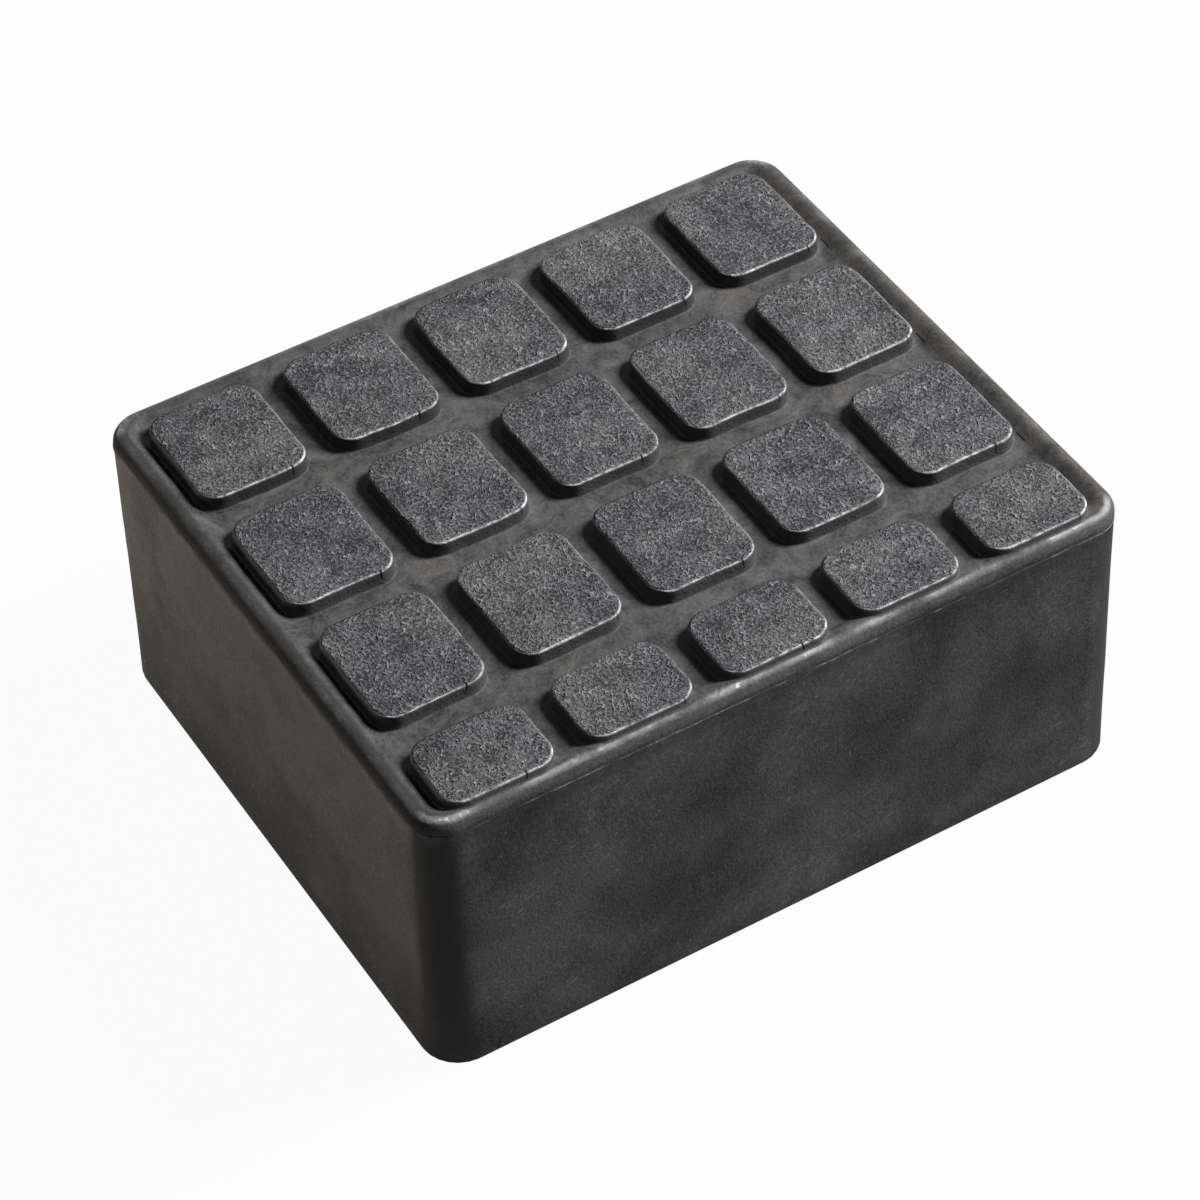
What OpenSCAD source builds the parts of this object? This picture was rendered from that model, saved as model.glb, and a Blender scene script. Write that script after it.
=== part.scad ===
// Rubber lifting block: a thick moulded block with a field of raised treads on top.
// The origin is at the middle of the foot, +X runs along the length and +Z points up.

/* [Block] */
// Length of the block at its foot
block_length = 160; // [120:1:220]
// Width of the block at its foot
block_width = 134; // [90:1:180]
// Height from the foot to the top of the treads
block_height = 70; // [40:1:120]
// Radius of the four upright corners at the foot
corner_radius = 8.4; // [7:0.2:14]
// Lean of the side walls, which lets the block leave its mould, in degrees
wall_lean = 0.75; // [0:0.05:1.2]
// Radius of the small rounding round the foot
foot_radius = 0.8; // [0.3:0.1:1.5]

/* [Rim] */
// Radius of the rounded rim round the top
rim_radius = 2.6; // [1.5:0.1:3]
// Width of the flat land inside the rounded rim
rim_land = 0.6; // [0.3:0.1:1]
// Depth of the groove floor below the rim
dish_depth = 1.7; // [0.8:0.1:3]
// Width of the slope from the land down to the groove floor
dish_slope = 3.2; // [1.5:0.1:3.6]
// Least radius of the groove floor's corners, seen from above
floor_corner = 1; // [0.5:0.1:2]

/* [Treads] */
// Length of a tread's top, along the block
tread_length = 24; // [16:0.5:36]
// Width of a whole tread's top, across the block
tread_width = 27.8; // [16:0.2:40]
// Height of a tread above the groove floor
tread_height = 3.3; // [2.4:0.1:6]
// Radius of a tread's corners, seen from above
tread_corner = 4.6; // [2.5:0.1:6]
// Radius of the rounded edge round a tread's top
tread_edge = 0.5; // [0.3:0.1:1]
// Lean of the tread walls, in degrees
tread_lean = 5; // [1:0.5:8]
// Radius of the fillet where a tread meets the groove floor
tread_fillet = 0.4; // [0.2:0.1:1]

/* [Layout] */
// Gap between two columns of treads
column_gap = 6.25; // [4:0.25:12]
// Gap between two rows of treads
row_gap = 7.3; // [4:0.1:12]
// Least margin between the outer columns and the ends of the top
end_margin = 5; // [5:0.1:12]
// Margin behind the back row
back_margin = 6.5; // [5:0.1:12]
// Margin in front of the short front row
front_margin = 2.4; // [2:0.1:8]
// Least width of a row that is cut short at the front
shortest_row = 11; // [10:0.5:16]

/* [Hidden] */
$fn = 48;

// Levels above the foot
floor_level = block_height - tread_height;
rim_level = floor_level + dish_depth;

// The top is a little smaller than the foot, because the walls lean in
top_inset = rim_level * tan(wall_lean);
top_length = block_length - 2 * top_inset;
top_width = block_width - 2 * top_inset;

// The dish, from the inner edge of the land to the edge of the groove floor
dish_inset = top_inset + rim_radius + rim_land;
dish_corner = max(corner_radius - dish_inset, dish_slope + floor_corner);
dish_overcut = 1;

// Columns are centred, and rows are set out from the back
column_pitch = tread_length + column_gap;
row_pitch = tread_width + row_gap;
columns = floor((top_length - 2 * end_margin + column_gap) / column_pitch);
row_room = top_width - back_margin - front_margin;
whole_rows = floor((row_room + row_gap) / row_pitch);
short_width = row_room - whole_rows * row_pitch;
field_back = top_width / 2 - back_margin;
field_front = front_margin - top_width / 2;

// How far a tread's solid is let into the block, and its fillet into the floor
tread_root = 0.6;
fillet_bite = 0.06;

// Steps in the small arcs of a tread's section
arc_steps = 3;

rubber = [0.17, 0.17, 0.18];

// Half section of the block's wall, which leans in and is rounded at the rim and the foot
module wall_section(reach) {
    rim_x = reach - rim_radius / cos(wall_lean) - (rim_level - rim_radius) * tan(wall_lean);
    foot_x = reach - foot_radius / cos(wall_lean) - foot_radius * tan(wall_lean);
    polygon([
        [0, 0],
        [foot_x, 0],
        [foot_x + foot_radius * cos(wall_lean), foot_radius + foot_radius * sin(wall_lean)],
        [rim_x + rim_radius * cos(wall_lean), rim_level - rim_radius + rim_radius * sin(wall_lean)],
        [rim_x, rim_level],
        [0, rim_level]
    ]);
    translate([rim_x, rim_level - rim_radius]) circle(r = rim_radius);
    translate([foot_x, foot_radius]) circle(r = foot_radius);
}

// Half section of the dish, which widens upwards and runs on past the land
module dish_section(reach) {
    spread = dish_slope / dish_depth;
    polygon([
        [0, 0],
        [reach - dish_slope, 0],
        [reach + dish_overcut * spread, dish_depth + dish_overcut],
        [0, dish_depth + dish_overcut]
    ]);
}

// Points of an arc about a centre, from one angle to another
function arc_points(x, z, r, from, to) = [
    for (step = [0 : arc_steps])
        let (a = from + (to - from) * step / arc_steps)
            [x + r * cos(a), z + r * sin(a)]
];

// Half section of a tread, with its rounded top edge and the fillet at its root
module tread_section(reach) {
    top_x = reach - tread_edge / cos(tread_lean) + tread_edge * tan(tread_lean);
    fillet_z = tread_fillet - fillet_bite;
    fillet_x = reach + (tread_height - fillet_z) * tan(tread_lean) + tread_fillet / cos(tread_lean);
    polygon(concat(
        [[0, -tread_root], [fillet_x, -tread_root]],
        arc_points(fillet_x, fillet_z, tread_fillet, 270, 180 + tread_lean),
        arc_points(top_x, tread_height - tread_edge, tread_edge, tread_lean, 90),
        [[0, tread_height]]
    ));
}

// A slab with rounded corners: its wall has the half section given, and its core is plain
module slab(length, width, corner, low, high) {
    for (turn = [0, 90, 180, 270]) {
        long = turn % 180 == 0 ? length : width;
        short = turn % 180 == 0 ? width : length;
        rotate([0, 0, turn])
            translate([long / 2 - corner, short / 2 - corner, 0]) {
                rotate_extrude(angle = 90) children();
                rotate([90, 0, 0]) linear_extrude(height = short - 2 * corner) children();
            }
    }
    translate([corner - length / 2, corner - width / 2, low])
        cube([length - 2 * corner, width - 2 * corner, high - low]);
}

// The block's own solid, before the dish is sunk into it
module blank() {
    slab(block_length, block_width, corner_radius, 0, rim_level) wall_section(corner_radius);
}

// The shallow dish that holds the grooves
module dish() {
    length = block_length - 2 * dish_inset;
    width = block_width - 2 * dish_inset;
    translate([0, 0, floor_level])
        slab(length, width, dish_corner, 0, dish_depth + dish_overcut) dish_section(dish_corner);
}

// One raised tread, centred on its own middle
module tread(length, width) {
    translate([0, 0, floor_level])
        slab(length, width, tread_corner, -tread_root, tread_height) tread_section(tread_corner);
}

// All treads: whole rows from the back, and a short row in what is left at the front
module treads() {
    for (column = [0 : columns - 1]) {
        x = (column - (columns - 1) / 2) * column_pitch;
        for (row = [0 : whole_rows - 1])
            translate([x, field_back - tread_width / 2 - row * row_pitch, 0])
                tread(tread_length, tread_width);
        if (short_width >= shortest_row)
            translate([x, field_front + short_width / 2, 0])
                tread(tread_length, short_width);
    }
}

module rubber_block() {
    color(rubber) {
        difference() {
            blank();
            dish();
        }
        treads();
    }
}

rubber_block();
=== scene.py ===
import math

import bpy
import numpy as np
from mathutils import Matrix, Vector, noise


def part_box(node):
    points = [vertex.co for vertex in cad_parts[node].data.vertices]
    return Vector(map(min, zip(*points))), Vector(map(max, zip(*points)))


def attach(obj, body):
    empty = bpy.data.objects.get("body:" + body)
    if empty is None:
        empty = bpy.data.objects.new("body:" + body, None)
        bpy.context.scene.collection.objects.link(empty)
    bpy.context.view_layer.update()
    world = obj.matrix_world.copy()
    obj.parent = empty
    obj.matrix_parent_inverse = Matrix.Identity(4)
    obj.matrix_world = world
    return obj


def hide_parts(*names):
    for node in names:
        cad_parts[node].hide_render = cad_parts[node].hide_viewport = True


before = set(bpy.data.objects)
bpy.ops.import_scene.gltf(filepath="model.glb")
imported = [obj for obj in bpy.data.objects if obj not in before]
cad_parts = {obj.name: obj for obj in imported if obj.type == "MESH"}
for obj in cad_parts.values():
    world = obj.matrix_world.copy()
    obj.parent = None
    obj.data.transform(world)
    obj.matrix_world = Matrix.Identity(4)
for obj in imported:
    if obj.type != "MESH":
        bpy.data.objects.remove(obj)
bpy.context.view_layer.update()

# The block's lengths are in millimetres, and its mesh is scaled to metres when it is made
MM = 0.001
node_low, node_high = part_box("rubber_block")
LENGTH, WIDTH, HEIGHT = (round(side / MM) for side in node_high - node_low)

# Form of the block, as in the CAD model
CORNER = 8.4
LEAN = math.radians(0.75)
FOOT_RADIUS = 0.8
RIM_RADIUS = 2.6
RIM_LAND = 0.6
DISH_DEPTH = 1.7
DISH_SLOPE = 3.2
TREAD_SIZE = (24, 27.8)
TREAD_HEIGHT = 3.3
TREAD_CORNER = 4.6
TREAD_EDGE = 0.5
TREAD_LEAN = math.radians(5)
TREAD_FILLET = 0.4
GAPS = (6.25, 7.3)
BACK_MARGIN = 6.5
FRONT_MARGIN = 2.4
COLUMNS = 5
WHOLE_ROWS = 3

PITCH = (TREAD_SIZE[0] + GAPS[0], TREAD_SIZE[1] + GAPS[1])
FLOOR_Z = HEIGHT - TREAD_HEIGHT
RIM_Z = FLOOR_Z + DISH_DEPTH
RIM_LOW = RIM_Z - RIM_RADIUS
TOP_INSET = RIM_Z * math.tan(LEAN)
FIELD_BACK = WIDTH / 2 - TOP_INSET - BACK_MARGIN
FIELD_FRONT = FRONT_MARGIN + TOP_INSET - WIDTH / 2
RIM_CENTRE = RIM_RADIUS / math.cos(LEAN) + RIM_LOW * math.tan(LEAN)
LAND_EDGE = TOP_INSET + RIM_RADIUS + RIM_LAND
RIM_CREST = TOP_INSET + 1.6
RIM_CORE = ((CORNER - LENGTH / 2, CORNER - WIDTH / 2), (LENGTH / 2 - CORNER, WIDTH / 2 - CORNER))

# The treads' cells end a little way down the rim's rounding
CELL_INSET = TOP_INSET + 1.2

# Segments of the mesh along a tread's length, a whole tread's width and a short tread's width
ALONG, ACROSS, SHORT_ACROSS = 40, 48, 28

# What each point of the mesh carries: how far it is tread face, worn edge with painted highlight,
# wall of a tread, groove floor, painted shade at upright corners and on the rim, and the front of a
# tread
MARKS = ["face", "edge", "wall", "floor", "turn", "front"]

# Edges that face this way, a little right of the front, are rubbed the most and get the most painted
# highlight
RUBBED_AND_LIT_SIDE = np.array([math.sin(math.radians(15)), -math.cos(math.radians(15))])


def ramp(value, low, high):
    """Zero up to low, one from high on, and even in between."""
    return np.clip((value - low) / (high - low), 0, 1)


def inset_at(x, y):
    """How far a point lies inside the block's outline at the foot."""
    dx = abs(x) - (LENGTH / 2 - CORNER)
    dy = abs(y) - (WIDTH / 2 - CORNER)
    outside = np.hypot(np.maximum(dx, 0), np.maximum(dy, 0))
    return CORNER - outside - np.minimum(np.maximum(dx, dy), 0)


def eased(value, soft=0.16):
    """The value, never below zero, with the bend at zero made soft."""
    return np.where(value < soft, np.maximum(value + soft, 0) ** 2 / (4 * soft), value)


def base_height(x, y):
    """Height of the rim, the land, the dish's slope or the groove floor."""
    inset = inset_at(x, y)
    down = np.clip((inset - LAND_EDGE) / DISH_SLOPE, -0.5, 1.5)
    dish = RIM_Z - DISH_DEPTH * (1 - eased(1 - eased(down)))
    fall = np.clip(RIM_CENTRE - inset, 0, RIM_RADIUS)
    return dish - RIM_RADIUS + np.sqrt(RIM_RADIUS ** 2 - fall ** 2)


def outline(centre, half, radii, counts):
    """Points and outward normals round a rectangle with rounded corners, as four sides.

    Each side runs from the middle of one corner to the middle of the next, anticlockwise from
    the front left. radii follow the corners, and counts are the segments along x and along y."""
    corners = ((-1, -1), (1, -1), (1, 1), (-1, 1))
    sides = []
    for side in range(4):
        facing = math.radians(90 * side - 90)
        segments = counts[side % 2]
        start = corners[side]
        first, last = radii[side], radii[(side + 1) % 4]
        straight = 2 * half[side % 2] - first - last
        arcs = (first * math.pi / 4, last * math.pi / 4)
        run = np.linspace(0, sum(arcs) + straight, segments + 1)
        turned = np.zeros(segments + 1)
        if first > 0:
            turned -= np.clip(arcs[0] - run, 0, None) / first
        if last > 0:
            turned += np.clip(run - arcs[0] - straight, 0, None) / last
        along = np.clip(run - arcs[0], 0, straight) + first
        axis = np.array([math.cos(facing), math.sin(facing)])
        way = np.array([-axis[1], axis[0]])
        corner = np.array(centre) + np.array(start) * half
        normal = np.cos(turned)[:, None] * axis + np.sin(turned)[:, None] * way
        radius = np.where(turned < 0, first, np.where(turned > 0, last, 0.0))[:, None]
        points = corner + along[:, None] * way + radius * (normal - axis)
        sides.append((points, normal))
    return sides


def loop(sides):
    """The four sides of an outline as one closed ring of points and one of normals."""
    points = np.concatenate([side[:-1] for side, normal in sides])
    normals = np.concatenate([normal[:-1] for side, normal in sides])
    return points, normals


def coons(curves):
    """A grid of points that fills four curves: front, right, back and left."""
    front, right, back, left = curves
    back, left = back[::-1], left[::-1]
    u = np.linspace(0, 1, len(front))[:, None, None]
    v = np.linspace(0, 1, len(right))[None, :, None]
    ruled = (1 - v) * front[:, None] + v * back[:, None] + (1 - u) * left[None] + u * right[None]
    flat = ((1 - u) * (1 - v) * front[0] + u * (1 - v) * front[-1]
            + (1 - u) * v * back[0] + u * v * back[-1])
    return ruled - flat


def border(grid):
    """The closed ring of points round a grid, anticlockwise from its first corner."""
    return np.concatenate([grid[:-1, 0], grid[-1, :-1], grid[:0:-1, -1], grid[0, :0:-1]])


def spans(edges):
    """The stretches between one edge and the next."""
    return list(zip(edges[:-1], edges[1:]))


def with_height(xy, z):
    """Points in a plane as points in space, at one height or at a height each."""
    return np.column_stack([xy, np.broadcast_to(z, len(xy))])


class Build:
    """Collects points, faces and what each point carries, and welds what meets."""

    def __init__(self):
        self.points = []
        self.marks = []
        self.faces = []
        self.count = 0

    def add(self, xyz, **marks):
        """Adds points, and returns their numbers."""
        xyz = np.asarray(xyz, float).reshape(-1, 3)
        rows = np.zeros((len(xyz), len(MARKS)))
        for name, value in marks.items():
            rows[:, MARKS.index(name)] = value
        first = self.count
        self.points.append(xyz)
        self.marks.append(rows)
        self.count += len(xyz)
        return np.arange(first, self.count)

    def mark(self, numbers, **marks):
        """Changes what points of the last part added carry."""
        first = self.count - len(self.marks[-1])
        for name, value in marks.items():
            self.marks[-1][numbers - first, MARKS.index(name)] = value

    def bridge(self, inner, outer):
        """Quads between two closed rings of as many points, inner to outer, seen from outside."""
        corners = (inner, outer, np.roll(outer, -1), np.roll(inner, -1))
        self.faces += [list(face) for face in zip(*corners)]

    def halve(self, fine, coarse):
        """Triangles from a closed ring to one of half as many points, outside it or below it."""
        count = len(coarse)
        for step in range(count):
            first, middle, last = fine[2 * step], fine[2 * step + 1], fine[(2 * step + 2) % len(fine)]
            low, high = coarse[step], coarse[(step + 1) % count]
            self.faces += [[first, low, middle], [middle, low, high], [middle, high, last]]

    def sheet(self, grid, flip=False):
        """Quads over a grid of points."""
        corners = [grid[:-1, :-1], grid[1:, :-1], grid[1:, 1:], grid[:-1, 1:]]
        if flip:
            corners = [corners[0]] + corners[:0:-1]
        self.faces += np.stack([corner.ravel() for corner in corners], 1).tolist()

    def welded(self):
        """Points, marks and faces, with points that lie together made one."""
        points, marks = np.concatenate(self.points), np.concatenate(self.marks)
        weld_grid = 1e-3
        keys = np.floor(points / weld_grid + 0.37).astype(np.int64)
        unused, first, index = np.unique(keys, axis=0, return_index=True, return_inverse=True)
        index = index.ravel()
        faces = []
        for face in self.faces:
            ring = list(dict.fromkeys(index[number] for number in face))
            if len(ring) > 2:
                faces.append([int(number) for number in ring])
        return points[first], marks[first], faces


class Rings:
    """Closed rings of points round the block, each joined to the one before it."""

    def __init__(self, build, start):
        self.build = build
        self.centre = np.clip(start, *RIM_CORE)
        self.normals = (start - self.centre) / np.linalg.norm(start - self.centre, axis=1)[:, None]
        self.last = None

    def at(self, inset, step=1):
        """Points at that inset from the foot's outline, all of them or one in every few."""
        reach = CORNER - np.broadcast_to(inset, len(self.centre))
        return (self.centre + self.normals * reach[:, None])[::step]

    def add(self, inset, z, step=1, **marks):
        """One more ring, with as many points as the last or half as many."""
        new = self.build.add(with_height(self.at(inset, step), z), **marks)
        if self.last is not None and len(new) == len(self.last):
            self.build.bridge(self.last, new)
        elif self.last is not None:
            self.build.halve(self.last, new)
        self.last = new


def rubbed(normals):
    """How far a tread's edge is rubbed pale and given a painted highlight, from the way it faces."""
    corner = 0.5 ** 0.5 * (normals[:, 0] - normals[:, 1])
    return np.clip(0.15 + 0.85 * normals @ RUBBED_AND_LIT_SIDE, 0.1, 0.9) + 0.35 * ramp(corner, 0.875, 1)


def outward(points):
    """The way that the block's outline faces near points of the rim."""
    away = points - np.clip(points, *RIM_CORE)
    return away / np.maximum(np.linalg.norm(away, axis=1)[:, None], 1e-6)


def rim_painted_shade(points):
    """How far the rim gets painted shade: dark on the left, and less at the back."""
    normals = outward(points)
    return np.clip(-1.2 * normals[:, 0], 0, 1) + 0.5 * np.clip(normals[:, 1], 0, 1) ** 2


def rim_wear_and_highlight(points):
    """How far the rim is rubbed pale and given a painted highlight: in blotches, most at the front and
    at the corners.
    """
    normals = outward(points)
    corners = ramp(np.abs(normals[:, 0] * normals[:, 1]), 0.24, 0.44)
    sides = np.where(normals[:, 1] > 0, 0.4 * normals[:, 1], -normals[:, 1])
    blotches = np.array([noise.fractal(Vector((x, y, 7)) * 0.09, 0.7, 2.3, 3) for x, y in points])
    spots = np.clip(0.65 + 2 * blotches, 0.2, 2)
    return np.maximum(np.maximum(sides, 0.15) * spots, 1.4 * corners)


def on_crest(inset):
    """Most on the crest of the rim, and nothing away from it."""
    return np.clip(0.7 - abs(inset - RIM_CREST) / 1.1, 0, 0.45)


def tread_top(build, sides, worn, front):
    """A tread's face and its rounded edge. Returns the last ring."""
    edge_centre = TREAD_EDGE * (math.tan(TREAD_LEAN) - 1 / math.cos(TREAD_LEAN))
    cap = coons([points + normals * edge_centre for points, normals in sides])
    numbers = build.add(np.dstack([cap, np.full(cap.shape[:2], HEIGHT)]), face=1)
    grid = numbers.reshape(cap.shape[:2])
    build.sheet(grid)
    ring = border(grid)
    build.mark(ring, edge=0.15 * worn, face=0.7, front=front)

    points, normals = loop(sides)
    # Wear with a painted highlight, most on the edge's upper rounding
    for degrees, wear in ((60, 1), (30, 0.5), (math.degrees(TREAD_LEAN), 0)):
        angle = math.radians(degrees)
        xy = points + normals * (edge_centre + TREAD_EDGE * math.cos(angle))
        z = HEIGHT - TREAD_EDGE + TREAD_EDGE * math.sin(angle)
        new = build.add(with_height(xy, z), edge=wear * worn, wall=1 - wear, front=front)
        build.bridge(ring, new)
        ring = new
    return ring


def tread_wall(build, sides, ring, front):
    """A tread's wall and the fillet at its root. Returns the last ring and its points.

    The wall's foot lies on whatever is under it: the floor, the slope or the rim."""
    points, normals = loop(sides)
    drop = np.full(len(points), TREAD_HEIGHT)
    for trial in range(8):
        fillet = np.minimum(TREAD_FILLET, 0.4 * drop)
        foot = (drop - fillet) * math.tan(TREAD_LEAN) + fillet / math.cos(TREAD_LEAN)
        xy = points + normals * foot[:, None]
        drop = HEIGHT - base_height(xy[:, 0], xy[:, 1])

    wall_top = TREAD_EDGE * (1 - math.sin(TREAD_LEAN))
    wall_low = drop - fillet * (1 - math.sin(TREAD_LEAN))
    for share in (0.5, 1):
        down = wall_top + (wall_low - wall_top) * share
        xy = points + normals * (down * math.tan(TREAD_LEAN))[:, None]
        new = build.add(with_height(xy, HEIGHT - down), wall=1, front=front)
        build.bridge(ring, new)
        ring = new

    for degrees in (30, 60, 90):
        angle = TREAD_LEAN + math.radians(degrees) * (1 - TREAD_LEAN / (math.pi / 2))
        xy = points + normals * (foot - fillet * np.cos(angle))[:, None]
        z = HEIGHT - drop + fillet * (1 - math.sin(angle))
        if degrees == 90:
            z = base_height(xy[:, 0], xy[:, 1])
        new = build.add(with_height(xy, z), wall=1 - degrees / 90, floor=degrees / 90)
        build.bridge(ring, new)
        ring = new
    return ring, xy


def tread_cell(build, centre, half, cell_sides, counts):
    """One tread with the groove floor round it, out to the edges of its cell."""
    sides = outline(centre, half, [TREAD_CORNER] * 4, counts)
    points, normals = loop(sides)
    # The edges' pale marks are wear with a painted highlight, more towards each tread's left end
    worn = rubbed(normals) * (1 - 0.25 * (points[:, 0] - centre[0]) / half[0])
    front = ramp(-normals[:, 1], 0.75, 1)
    ring = tread_top(build, sides, worn, front)
    ring, root = tread_wall(build, sides, ring, front)

    cell_edge, unused = loop(cell_sides)
    at_rim = inset_at(cell_edge[:, 0], cell_edge[:, 1]).min() < LAND_EDGE
    shares = (0.2, 0.4, 0.54, 0.68, 0.84, 1) if at_rim else (0.2, 0.45, 0.72, 1)
    for share in shares:
        at = root + (cell_edge - root) * share
        inset = inset_at(at[:, 0], at[:, 1])
        # Painted shade: the rim is dark on the left, and less at the back
        dark = rim_painted_shade(at) * ramp(LAND_EDGE + 1 - inset, 0, 1.2)
        # Wear with a painted highlight: the rim's crest is made pale, most at the front and corners
        new = build.add(with_height(at, base_height(at[:, 0], at[:, 1])),
                        floor=1 - 0.8 * np.clip(dark, 0, 1), turn=dark,
                        edge=rim_wear_and_highlight(at) * on_crest(inset))
        build.bridge(ring, new)
        ring = new


def cell_layout():
    """Where the cells' edges lie, with each column's middle and each row's front and back."""
    half_x, half_y = LENGTH / 2 - CELL_INSET, WIDTH / 2 - CELL_INSET
    middles = [(column - (COLUMNS - 1) / 2) * PITCH[0] for column in range(COLUMNS)]
    edges_x = [-half_x] + [x + PITCH[0] / 2 for x in middles[:-1]] + [half_x]

    rows = [(FIELD_BACK - row * PITCH[1] - TREAD_SIZE[1], FIELD_BACK - row * PITCH[1])
            for row in range(WHOLE_ROWS)]
    rows.append((FIELD_FRONT, rows[-1][0] - GAPS[1]))
    rows.reverse()
    edges_y = [-half_y] + [high + GAPS[1] / 2 for low, high in rows[:-1]] + [half_y]
    return middles, edges_x, rows, edges_y


def tread_field(build):
    """All the treads in their cells. Returns the ring of points where the cells end."""
    middles, edges_x, rows, edges_y = cell_layout()
    corner = CORNER - CELL_INSET
    ends = [[], [], [], []]
    for column, (x0, x1) in enumerate(spans(edges_x)):
        for row, (y0, y1) in enumerate(spans(edges_y)):
            at_left, at_right = column == 0, column == COLUMNS - 1
            at_front, at_back = row == 0, row == WHOLE_ROWS
            at_corners = (at_left and at_front, at_right and at_front,
                          at_right and at_back, at_left and at_back)
            counts = (ALONG, SHORT_ACROSS if at_front else ACROSS)
            cell_sides = outline(((x0 + x1) / 2, (y0 + y1) / 2), ((x1 - x0) / 2, (y1 - y0) / 2),
                                 [corner * at_corner for at_corner in at_corners], counts)
            low, high = rows[row]
            tread_cell(build, (middles[column], (low + high) / 2),
                       (TREAD_SIZE[0] / 2, (high - low) / 2), cell_sides, counts)

            front, right, back, left = (points[:-1] for points, normals in cell_sides)
            if at_front:
                ends[0].append(front)
            if at_right:
                ends[1].append(right)
            if at_back:
                ends[2].insert(0, back)
            if at_left:
                ends[3].insert(0, left)
    return np.concatenate([points for end in ends for points in end])


def rim_rings(rings, start):
    """The rim's rounding, from the cells down to the walls."""
    # Wear with a painted highlight: the rim's crest and upper rounding are made pale, most at the
    # front
    worn = rim_wear_and_highlight(start)
    # Painted shade: the rim is dark on the left, and less at the back
    dark = np.clip(rim_painted_shade(start), 0, 1)
    rings.add(CELL_INSET, base_height(start[:1, 0], start[:1, 1])[0], floor=1 - 0.8 * dark,
              turn=dark, edge=worn * on_crest(CELL_INSET))
    first_angle = math.acos((RIM_CENTRE - CELL_INSET) / RIM_RADIUS)
    for share in (0.25, 0.5, 0.75, 1):
        angle = first_angle + (LEAN - first_angle) * share
        inset = RIM_CENTRE - RIM_RADIUS * math.cos(angle)
        rings.add(inset, RIM_Z - RIM_RADIUS * (1 - math.sin(angle)), turn=dark,
                  floor=(1 - share) * np.clip(worn, 0, 1) * (1 - dark), edge=worn * on_crest(inset))


def wall_rings(rings, start):
    """The mould's parting line, the side walls and the rounding at the foot."""
    worn = np.clip(rim_wear_and_highlight(start), 0, 1)
    bits = np.array([noise.noise(Vector((x, y, 3)) * 0.22) for x, y in start])
    bits = np.clip(3 * bits + 0.35, 0, 1)
    # Painted shade: the upright corners, where the sides turn, are painted dark
    aslant = np.degrees(np.arctan2(np.abs(rings.normals[:, 1]), np.abs(rings.normals[:, 0])))
    turn = ramp(33 - np.abs(aslant - 45), 0, 6)

    # The parting line is a shallow groove with a broken thread of flash in it, paled by a painted
    # highlight
    for down, proud, thread in ((0.35, -0.1, 0), (0.6, -0.04, 0), (0.72, 0.16, 1), (0.84, -0.02, 0)):
        z = RIM_LOW - down
        out = proud * bits if thread else proud
        rings.add(z * math.tan(LEAN) - out, z, edge=0.6 * thread * bits * worn, turn=turn)

    wall_low = FOOT_RADIUS * (1 + math.sin(LEAN))
    for z in np.linspace(RIM_LOW - 1, wall_low, 18)[1:]:
        rings.add(z * math.tan(LEAN), z, step=2, turn=turn[::2])


def foot_rings(build, rings):
    """The small rounding at the foot, and the foot itself."""
    foot_centre = FOOT_RADIUS / math.cos(LEAN) + FOOT_RADIUS * math.tan(LEAN)
    for degrees in (-30, -60, -90):
        angle = math.radians(degrees)
        rings.add(foot_centre - FOOT_RADIUS * math.cos(angle), FOOT_RADIUS * (1 + math.sin(angle)),
                  step=2)
    rings.add(foot_centre + 1, 0, step=4)

    closed = rings.at(foot_centre + 1, step=4)
    closed = np.concatenate([closed, closed[:1]])
    long_side, short_side = COLUMNS * ALONG // 4, (WHOLE_ROWS * ACROSS + SHORT_ACROSS) // 4
    ends = np.cumsum([0, long_side, short_side, long_side, short_side])
    foot = coons([closed[first:last + 1] for first, last in spans(ends)])
    numbers = build.add(np.dstack([foot, np.zeros(foot.shape[:2])]))
    build.sheet(numbers.reshape(foot.shape[:2]), flip=True)


def block_points():
    """The whole moulding as points, their marks and faces."""
    build = Build()
    start = tread_field(build)
    rings = Rings(build, start)
    rim_rings(rings, start)
    wall_rings(rings, start)
    foot_rings(build, rings)
    return build.welded()


def relief(points, marks):
    """Moves points a little, as the rubber's worn faces and the waviness of its edges and sides."""
    # Without a seed, the noise that sways the edges would start from the clock
    noise.seed_set(1)
    moved = points.copy()
    face = marks[:, MARKS.index("face")]
    inset = inset_at(points[:, 0], points[:, 1])
    top_part, foot_part, wear = FLOOR_Z - 1, 2, 0.05
    for number, (x, y, z) in enumerate(points):
        at = Vector((x, y, z))
        if face[number] > 0:
            lumps = noise.fractal(at * 0.35, 0.6, 2.1, 3)
            moved[number, 2] -= max(0.0, wear - wear * lumps) * face[number]
        if z > top_part:
            sway = noise.noise_vector(at * 0.11) * 0.28 + noise.noise_vector(at * 0.45) * 0.08
            held = min(max((inset[number] - LAND_EDGE) / DISH_SLOPE, 0), 1)
            moved[number, 0] += sway.x * held
            moved[number, 1] += sway.y * held
        elif z > foot_part and inset[number] < 3:
            # The sides only ever lie inside the plain form
            hollow = 0.16 * (0.5 + 0.5 * noise.fractal(at * 0.05, 0.8, 2.0, 3))
            way = np.clip((x, y), *RIM_CORE) - (x, y)
            way = way / np.hypot(*way)
            share = min((z - foot_part) / 6, (top_part - z) / 6, 1)
            moved[number, :2] += way * max(0.0, hollow) * share
    return moved


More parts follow.
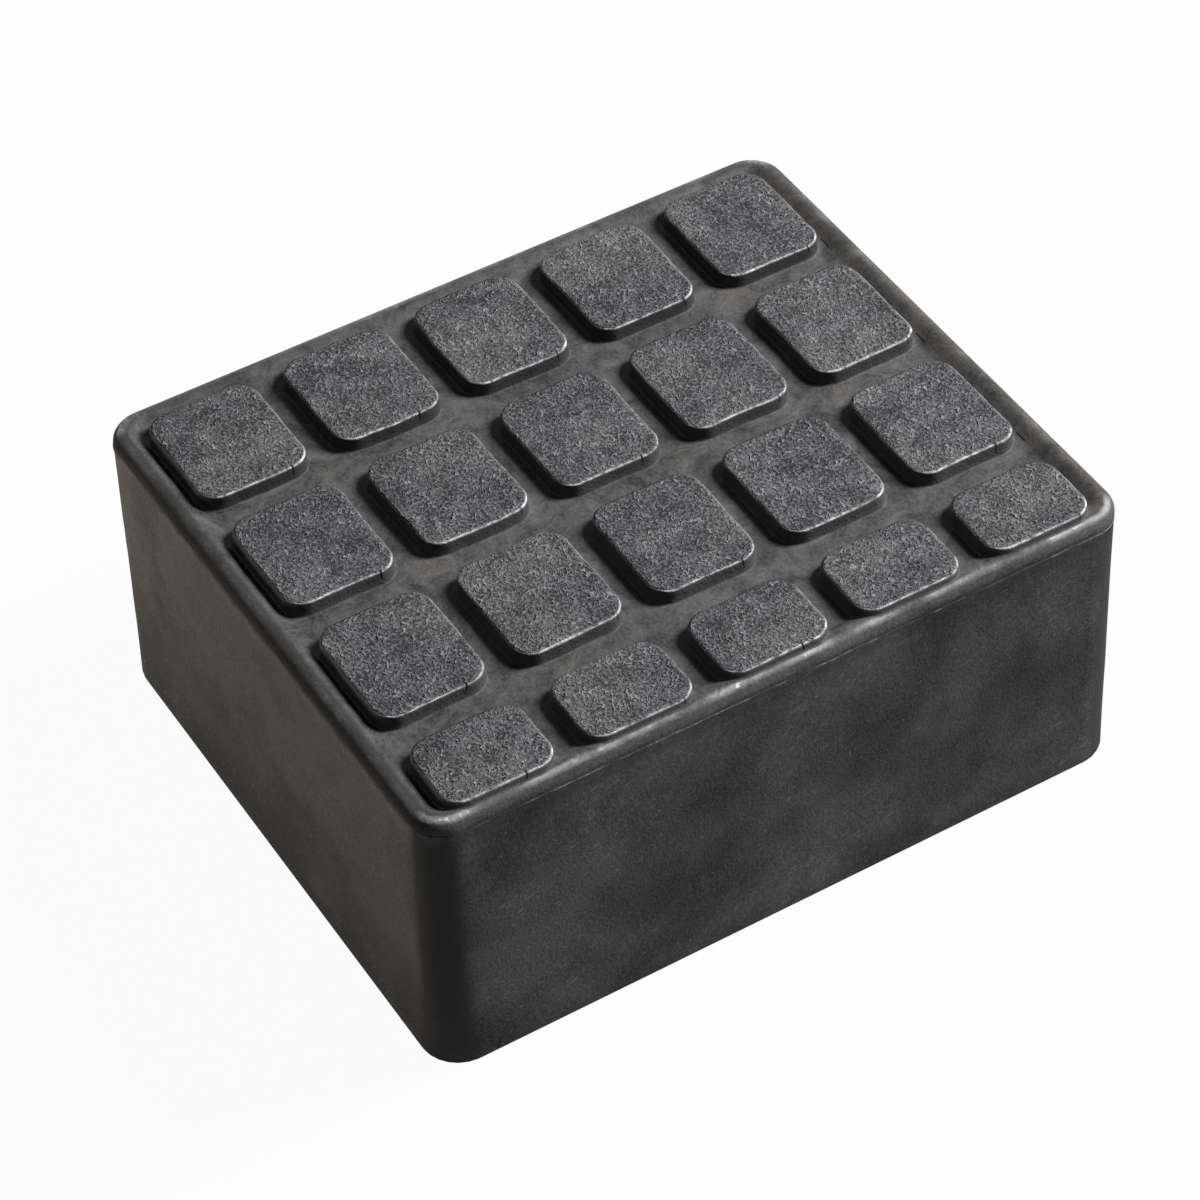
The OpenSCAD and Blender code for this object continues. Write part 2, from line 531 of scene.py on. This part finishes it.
class Look:
    """A material made of nodes: each call adds a node or two and returns an output socket."""

    def __init__(self, name):
        self.material = bpy.data.materials.new(name)
        self.material.use_nodes = True
        self.tree = self.material.node_tree
        self.shader = self.tree.nodes["Principled BSDF"]
        self.place = self.add("ShaderNodeTexCoord").outputs["Object"]
        parts = self.add("ShaderNodeSeparateXYZ")
        self.put(parts.inputs["Vector"], self.place)
        self.across, self.along, self.up = (parts.outputs[name] for name in "XYZ")

    def add(self, kind):
        return self.tree.nodes.new(kind)

    def put(self, socket, value):
        """Links a socket to the value's, or sets its number or colour."""
        if isinstance(value, bpy.types.NodeSocket):
            self.tree.links.new(value, socket)
        else:
            socket.default_value = value

    def mark(self, name):
        """The value that the mesh carries under that name."""
        node = self.add("ShaderNodeAttribute")
        node.attribute_name = name
        return node.outputs["Fac"]

    def mapped(self, **settings):
        """The place on the block through a mapping with those settings."""
        node = self.add("ShaderNodeMapping")
        self.put(node.inputs["Vector"], self.place)
        for name, value in settings.items():
            node.inputs[name].default_value = value
        return node

    def drawn_out(self, times, tilt):
        """The place on the block, for marks so many times longer on a line that rises to the right."""
        node = self.mapped(Rotation=(0, -math.radians(tilt), 0), Scale=(times, 1, 1))
        node.vector_type = "TEXTURE"
        return node.outputs["Vector"]

    def moved(self, x, y, z):
        """The place on the block, shifted, for noise that differs from the rest."""
        return self.mapped(Location=(x * MM, y * MM, z * MM)).outputs["Vector"]

    def noise(self, grain, detail=2.0, roughness=0.5, bend=0.0, at=None):
        """Noise with grains of about that size in millimetres."""
        node = self.add("ShaderNodeTexNoise")
        self.put(node.inputs["Vector"], self.place if at is None else at)
        node.inputs["Scale"].default_value = 1 / (grain * MM)
        node.inputs["Detail"].default_value = detail
        node.inputs["Roughness"].default_value = roughness
        node.inputs["Distortion"].default_value = bend
        return node.outputs["Fac"]

    def math(self, operation, a, b=0.0):
        node = self.add("ShaderNodeMath")
        node.operation = operation
        self.put(node.inputs[0], a)
        self.put(node.inputs[1], b)
        return node.outputs["Value"]

    def times(self, a, b):
        return self.math("MULTIPLY", a, b)

    def plus(self, a, b):
        return self.math("ADD", a, b)

    def larger(self, a, b):
        return self.math("MAXIMUM", a, b)

    def off(self, value, middle):
        """How far a value lies from the middle, either way."""
        return self.math("ABSOLUTE", self.math("SUBTRACT", value, middle))

    def fit(self, value, low, high, to_low=0.0, to_high=1.0, smooth=False):
        """The value's stretch from low to high, spread over another stretch and held at its ends."""
        node = self.add("ShaderNodeMapRange")
        node.interpolation_type = "SMOOTHSTEP" if smooth else "LINEAR"
        self.put(node.inputs["Value"], value)
        node.inputs["From Min"].default_value = low
        node.inputs["From Max"].default_value = high
        node.inputs["To Min"].default_value = to_low
        node.inputs["To Max"].default_value = to_high
        return node.outputs["Result"]

    def span(self, place, low, high, to_low=0.0, to_high=1.0):
        """The same for a place along an axis, with low and high in millimetres."""
        return self.fit(place, low * MM, high * MM, to_low, to_high)

    def mix(self, share, a, b, kind="FLOAT"):
        """A number between a and b."""
        node = self.add("ShaderNodeMix")
        node.data_type = kind
        self.put(node.inputs["Factor"], share)
        self.put(node.inputs["A"], a)
        self.put(node.inputs["B"], b)
        return node.outputs["Result"]

    def blend(self, share, a, b):
        """A colour between a and b."""
        return self.mix(share, a, b, "RGBA")

    def bump(self, height, rise, under=None, share=1.0):
        """Relief from a height of 0 to 1, rise millimetres tall."""
        node = self.add("ShaderNodeBump")
        self.put(node.inputs["Strength"], share)
        node.inputs["Distance"].default_value = rise * MM
        self.put(node.inputs["Height"], height)
        if under is not None:
            self.put(node.inputs["Normal"], under)
        return node.outputs["Normal"]


def grey(level, warmth=0.0):
    """A grey that leans to brown, or to blue where warmth is below zero."""
    return (level * (1 + max(warmth, 0)), level, level * (1 - warmth), 1)


def strokes(look, grain, gate_grain, width, shift):
    """Short raised worms: the lines where noise crosses its middle, broken by other noise."""
    wave = look.noise(grain, 0.6, 0.6, at=look.moved(shift, 0, 0))
    ridge = look.fit(look.off(wave, 0.5), 0, width, 1, 0)
    gate = look.noise(gate_grain, 1, at=look.moved(0, shift, 0))
    return look.times(ridge, look.fit(gate, 0.44, 0.55, smooth=True))


def tread_colour(look, fibre, tooth, clouds):
    """Dark pits between pale rubbed fibres, in patches and clouds."""
    pile = look.plus(look.times(fibre, 0.48), look.times(tooth, 0.42))
    patches = look.noise(4.5, 2, 0.65)
    pile = look.plus(pile, look.fit(patches, 0.3, 0.7, -0.13, 0.13))
    pile = look.plus(pile, look.fit(clouds, 0.35, 0.65, -0.06, 0.06))
    pale = look.blend(look.fit(clouds, 0.4, 0.6), grey(0.3, -0.08), grey(0.3, -0.01))
    return look.blend(look.fit(pile, 0.05, 0.8), grey(0.04, -0.06), pale)


def floor_colour(look, smudge, film, clouds):
    """An even grey with soft smudges and fine pale specks, browner on the land at the right end."""
    pale = look.blend(look.fit(clouds, 0.4, 0.62), grey(0.133, -0.04), grey(0.135, 0.04))
    usual = look.blend(film, grey(0.04, -0.02), pale)
    brown = look.blend(film, grey(0.034, 0.05), grey(0.105, 0.07))
    ragged = look.plus(look.across, look.fit(smudge, 0.35, 0.65, -1 * MM, 1 * MM))
    right_land = look.span(ragged, LENGTH / 2 - 7.8, LENGTH / 2 - 4.8)
    return look.blend(right_land, usual, brown)


def side_colour(look, mottle, skin_grain, turn):
    """Black, mottled at two scales, with specks and scores; painted light high on the left side,
    painted shade low on it, at the upright corners and on the rim.
    """
    mottled = look.plus(look.fit(mottle, 0.26, 0.74, 0.05, 0.85),
                        look.fit(skin_grain, 0.36, 0.64, -0.12, 0.16))
    colour = look.blend(mottled, grey(0.028, 0.01), grey(0.142, 0.01))

    ragged = look.plus(look.across, look.fit(mottle, 0.3, 0.7, -3 * MM, 3 * MM))
    left_side = look.span(ragged, 3.5 - LENGTH / 2, 0.8 - LENGTH / 2)
    # Painted shade: the left side is darker low down
    left_painted_low_shade = look.times(left_side, look.span(look.up, 0, 30, 0.7, 0))
    colour = look.blend(left_painted_low_shade, colour, grey(0.02, 0.05))
    # Painted light: the left side is paler and warmer higher up and towards the back
    left_painted_light = look.times(left_side, look.span(look.up, 4, 50, 0.1, 0.9))
    left_painted_light = look.times(left_painted_light, look.span(look.along, 10, 55, 0.7, 1.2))
    left_painted_lit_colour = look.blend(mottled, grey(0.07, 0.08), grey(0.24, 0.07))
    colour = look.blend(look.times(left_painted_light, 0.85), colour, left_painted_lit_colour)

    specks = look.fit(look.noise(0.9, 1, at=look.moved(200, 0, 0)), 0.7, 0.8)
    scores = look.fit(look.noise(0.6, 1, 0.6, at=look.drawn_out(4, 20)), 0.62, 0.73)
    scores = look.times(scores, look.fit(mottle, 0.45, 0.6))
    colour = look.blend(look.times(look.larger(specks, scores), 0.8), colour, grey(0.2, 0.02))
    # Painted shade: dark at the upright corners and on the left and back rim
    return look.blend(turn, colour, grey(0.045, 0.03))


def pale_wear_and_highlight(look, edge, floor, film):
    """How far an edge shows pale from wear and painted highlight: in chips, with bright flecks, and
    softly on the rim.
    """
    chips = look.noise(1.6, 2, 0.7)
    chipped = look.fit(chips, 0.34, 0.56, 0.15, 1)
    worn = look.times(edge, look.mix(floor, chipped, look.fit(film, 0, 1, 0.4, 0.8)))
    above_sides = look.span(look.up, RIM_Z - 2.9, RIM_Z - 2.4)
    flecks = look.times(look.fit(edge, 0.35, 0.6), above_sides)
    return look.larger(worn, look.times(look.fit(chips, 0.56, 0.62), flecks))


def painted_crease_shade(look, floor):
    """Painted shade: short dark lines in the creases beside the front corners of the treads at the
    right end.
    """
    crease_x = LENGTH / 2 - 6.3
    crease_share = 0.09
    row_front = FIELD_BACK - TREAD_SIZE[1]
    rows_on = look.math("DIVIDE", look.math("SUBTRACT", look.along, row_front * MM), PITCH[1] * MM)
    long_enough = look.math("LESS_THAN", look.math("FRACT", look.plus(rows_on, 2)), crease_share)
    line = look.span(look.off(look.across, crease_x * MM), 0.08, 0.2, 1, 0)
    behind_front = look.math("GREATER_THAN", rows_on, 0.95 - WHOLE_ROWS)
    return look.times(look.times(look.times(long_enough, line), behind_front), floor)


def nicks(look, front):
    """Short nicks in the treads' front edges, about one to a tread."""
    spread = look.times(look.noise(40, 0, at=look.moved(100, 400, 0)), 0.5)
    columns_on = look.math("DIVIDE", look.across, PITCH[0] * MM)
    share = look.math("FRACT", look.plus(columns_on, spread))
    nick = look.fit(look.off(share, 0.5), 0.004, 0.009, 1, 0)
    near_top = look.span(look.up, HEIGHT - 2.4, HEIGHT - 1.2)
    return look.times(nick, look.times(front, near_top))


def rubber_material():
    """Black rubber: a rubbed, fibrous grain on the treads, smooth and mottled elsewhere."""
    look = Look("moulded_rubber")
    face, edge, wall, floor, turn, front = (look.mark(name) for name in MARKS)

    fibre = look.larger(strokes(look, 2.0, 1.5, 0.045, 30), strokes(look, 1.5, 1.3, 0.05, 50))
    tooth = look.fit(look.noise(0.7, 1.5, 0.6), 0.32, 0.68)
    dents = look.noise(3, 2, 0.6)
    clouds = look.noise(24, 1)
    smudge = look.noise(7, 4, 0.7, 0.8)
    mottle = look.noise(19, 4, 0.52)
    skin_grain = look.noise(0.7, 2, 0.75)
    film = look.plus(look.fit(smudge, 0.32, 0.7), look.fit(skin_grain, 0.35, 0.65, -0.2, 0.2))

    # Painted shade: the treads' walls are darker towards the back
    wall_colour_with_painted_shade = look.blend(look.span(look.along, -20, 50), grey(0.092, -0.03), grey(0.046, -0.03))
    worn = pale_wear_and_highlight(look, edge, floor, film)
    colour = look.blend(wall, side_colour(look, mottle, skin_grain, turn), wall_colour_with_painted_shade)
    colour = look.blend(floor, colour, floor_colour(look, smudge, film, clouds))
    colour = look.blend(face, colour, tread_colour(look, fibre, tooth, clouds))
    # Wear with a painted highlight: pale bluish grey on rubbed edges and on the rim's crest
    colour = look.blend(worn, colour, grey(0.75, -0.05))
    # Painted shade in the creases at the right end
    colour = look.blend(painted_crease_shade(look, floor), colour, grey(0.004))
    colour = look.blend(nicks(look, front), colour, grey(0.008))
    look.put(look.shader.inputs["Base Color"], colour)
    look.put(look.shader.inputs["Specular IOR Level"], 0.08)

    rough = look.mix(wall, look.fit(mottle, 0.3, 0.7, 0.75, 0.9), 0.5)
    rough = look.mix(floor, rough, 0.36)
    rough = look.mix(face, rough, 0.6)
    rough = look.mix(worn, rough, 0.3)
    look.put(look.shader.inputs["Roughness"], rough)

    # Relief: the moulded skin, then dents, tooth and fibres on the tread faces
    skin = look.bump(look.times(skin_grain, look.mix(floor, 1, 0.35)), 0.16)
    skin = look.bump(look.times(dents, face), 0.5, skin, look.fit(clouds, 0.42, 0.62, 1, 0.15))
    skin = look.bump(look.times(tooth, face), 0.15, skin)
    skin = look.bump(look.times(fibre, face), 0.27, skin)
    look.put(look.shader.inputs["Normal"], skin)
    return look.material


def make_block():
    """The moulding as one mesh with its material, in place of the plain solid."""
    points, marks, faces = block_points()
    points = relief(points, marks)
    mesh = bpy.data.meshes.new("moulded_block")
    mesh.from_pydata((points * MM).tolist(), [], faces)
    for column, name in enumerate(MARKS):
        attribute = mesh.attributes.new(name, "FLOAT", "POINT")
        attribute.data.foreach_set("value", marks[:, column].astype(np.float32))
    mesh.shade_smooth()
    mesh.materials.append(rubber_material())
    piece = bpy.data.objects.new("moulded_block", mesh)
    bpy.context.scene.collection.objects.link(piece)
    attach(piece, "root")
    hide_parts("rubber_block")
    return piece


def way_out(azimuth, elevation):
    """The way from the block to something at that azimuth and elevation, in radians."""
    return Vector((math.sin(azimuth) * math.cos(elevation), -math.cos(azimuth) * math.cos(elevation),
                   math.sin(elevation)))


def camera():
    """The photograph's view: a long lens, from the front left and above."""
    focal, image, sensor = 4295.35, 1200, 36
    azimuth, elevation, roll = (math.radians(angle) for angle in (-29.769, 45.267, -2.231))

    # Where the middle of the foot lies, seen from the camera: to the right, down and away
    foot_at = Vector((3.261, 21.285, 897.256))
    back = way_out(azimuth, elevation)
    right = Vector((math.cos(azimuth), math.sin(azimuth), 0))
    up = back.cross(right)
    level, tilt = math.cos(roll), math.sin(roll)
    side = level * right + tilt * up
    top = -tilt * right + level * up
    data = bpy.data.cameras.new("camera")
    data.sensor_width = sensor
    data.lens = focal / image * sensor
    data.clip_start, data.clip_end = 0.05, 20
    eye = bpy.data.objects.new("camera", data)
    bpy.context.scene.collection.objects.link(eye)
    turned = Matrix((side, top, back)).transposed()
    place = -(foot_at.x * side - foot_at.y * top - foot_at.z * back) * MM
    eye.matrix_world = Matrix.Translation(place) @ turned.to_4x4()
    bpy.context.scene.camera = eye
    return eye


def area_light(name, azimuth, elevation, distance, size, power, colour=(1, 1, 1)):
    """A soft box that looks at the middle of the block. Its distance and size are in metres."""
    way = way_out(math.radians(azimuth), math.radians(elevation))
    data = bpy.data.lights.new(name, "AREA")
    data.shape = "RECTANGLE"
    data.size, data.size_y = size
    data.energy = power
    data.color = colour
    lamp = bpy.data.objects.new(name, data)
    bpy.context.scene.collection.objects.link(lamp)
    lamp.location = way * distance + Vector((0, 0, HEIGHT / 2 * MM))
    lamp.rotation_mode = "QUATERNION"
    lamp.rotation_quaternion = way.to_track_quat("Z", "Y")
    lamp.visible_camera = False
    return lamp


def lamps():
    """A strong key from the right, and two weak low lamps that graze the left side and the back."""
    area_light("key", azimuth=77, elevation=45, distance=1.2, size=(0.28, 0.5), power=23.5)
    left = area_light("left_low", azimuth=-124, elevation=-1, distance=0.45, size=(0.3, 0.04),
                      power=0.62, colour=(1, 0.93, 0.82))
    back = area_light("back_low", azimuth=172, elevation=-1, distance=0.5, size=(0.4, 0.04),
                      power=0.9)
    for lamp in (left, back):
        lamp.visible_glossy = False


def seen_rays(nodes, links):
    """One for rays that show the background: to the camera, in a gloss or through glass."""
    path = nodes.new("ShaderNodeLightPath")
    total = path.outputs["Is Camera Ray"]
    for name in ("Is Glossy Ray", "Is Transmission Ray"):
        either = nodes.new("ShaderNodeMath")
        either.operation = "MAXIMUM"
        links.new(total, either.inputs[0])
        links.new(path.outputs[name], either.inputs[1])
        total = either.outputs["Value"]
    return total


def white_world():
    """White where it is seen, also as a reflection, and no other light on the block."""
    world = bpy.data.worlds.new("studio")
    bpy.context.scene.world = world
    world.use_nodes = True
    nodes, links = world.node_tree.nodes, world.node_tree.links
    background = nodes["Background"]
    background.inputs["Color"].default_value = (1, 1, 1, 1)
    links.new(seen_rays(nodes, links), background.inputs["Strength"])


def floor_material():
    """Nearly white where it is seen, with the block's shadow, and a plain grey in what it lights."""
    white_share = 0.96
    diffuse = 0.45
    material = bpy.data.materials.new("pale_floor")
    material.use_nodes = True
    nodes, links = material.node_tree.nodes, material.node_tree.links
    shader = nodes["Principled BSDF"]
    shader.inputs["Base Color"].default_value = (diffuse, diffuse, diffuse, 1)
    shader.inputs["Roughness"].default_value = 1
    glow = nodes.new("ShaderNodeEmission")
    mix = nodes.new("ShaderNodeMixShader")
    share = nodes.new("ShaderNodeMath")
    share.operation = "MULTIPLY"
    share.inputs[1].default_value = white_share
    links.new(seen_rays(nodes, links), share.inputs[0])
    links.new(share.outputs["Value"], mix.inputs["Fac"])
    links.new(shader.outputs["BSDF"], mix.inputs[1])
    links.new(glow.outputs["Emission"], mix.inputs[2])
    links.new(mix.outputs["Shader"], nodes["Material Output"].inputs["Surface"])
    return material


def pale_floor():
    """The plain floor that the block stands on, six metres across."""
    reach = 3
    corners = [(-reach, -reach, 0), (reach, -reach, 0), (reach, reach, 0), (-reach, reach, 0)]
    mesh = bpy.data.meshes.new("floor")
    mesh.from_pydata(corners, [], [(0, 1, 2, 3)])
    mesh.materials.append(floor_material())
    floor = bpy.data.objects.new("floor", mesh)
    bpy.context.scene.collection.objects.link(floor)


camera()
lamps()
white_world()
pale_floor()
make_block()
bpy.context.scene.view_settings.view_transform = "Standard"
